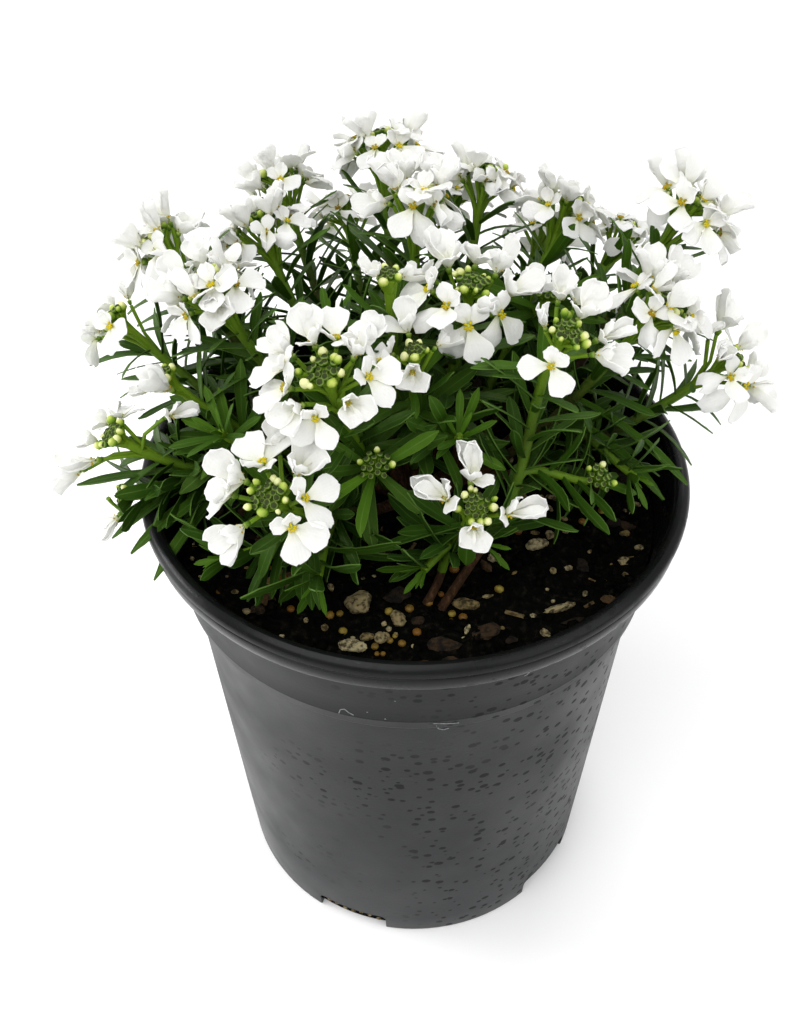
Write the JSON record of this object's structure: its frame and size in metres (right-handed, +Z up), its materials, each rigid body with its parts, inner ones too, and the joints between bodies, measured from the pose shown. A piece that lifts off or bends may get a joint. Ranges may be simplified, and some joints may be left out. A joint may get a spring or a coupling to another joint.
{
  "type": "potted evergreen candytuft",
  "caption": "Bushy evergreen plant with narrow dark green leaves and flat white flower heads, growing in a black nursery pot.",
  "frame": {"origin": "middle of the pot's flat underside, on the pot's axis", "axes": "+Z up along the pot's axis; the plant's front faces -Y"},
  "size_m": [0.1941, 0.1828, 0.2542],
  "materials": {
    "pot_plastic": "satin",
    "soil": "matte",
    "bark": "matte",
    "leaf": "satin",
    "petal": "matte"
  },
  "bodies": {
    "root": {"pot": "pot_plastic", "soil": "soil", "woody_crown": "bark", "woody_crown_front": "bark", "leafy_stem_01": "leaf", "flower_head_01": "petal", "leafy_stem_02": "leaf", "flower_head_02": "petal", "leafy_stem_03": "leaf", "flower_head_03": "petal", "leafy_stem_04": "leaf", "flower_head_04": "petal", "leafy_stem_05": "leaf", "flower_head_05": "petal", "leafy_stem_06": "leaf", "flower_head_06": "petal", "leafy_stem_07": "leaf", "flower_head_07": "petal", "leafy_stem_08": "leaf", "flower_head_08": "petal", "leafy_stem_09": "leaf", "flower_head_09": "petal", "leafy_stem_10": "leaf", "flower_head_10": "petal", "leafy_stem_11": "leaf", "flower_head_11": "petal", "leafy_stem_12": "leaf", "flower_head_12": "petal", "leafy_stem_13": "leaf", "flower_head_13": "petal", "leafy_stem_14": "leaf", "flower_head_14": "petal", "leafy_stem_15": "leaf", "flower_head_15": "petal", "leafy_stem_16": "leaf", "flower_head_16": "petal", "leafy_stem_17": "leaf", "flower_head_17": "petal", "leafy_stem_18": "leaf", "flower_head_18": "petal", "leafy_stem_19": "leaf", "flower_head_19": "petal", "leafy_stem_20": "leaf", "flower_head_20": "petal", "leafy_stem_21": "leaf", "flower_head_21": "petal", "leafy_stem_22": "leaf", "flower_head_22": "petal", "leafy_stem_23": "leaf", "flower_head_23": "petal", "leafy_stem_24": "leaf", "flower_head_24": "petal", "leafy_stem_25": "leaf", "flower_head_25": "petal", "leafy_stem_26": "leaf", "flower_head_26": "petal"}
  },
  "joints": []
}
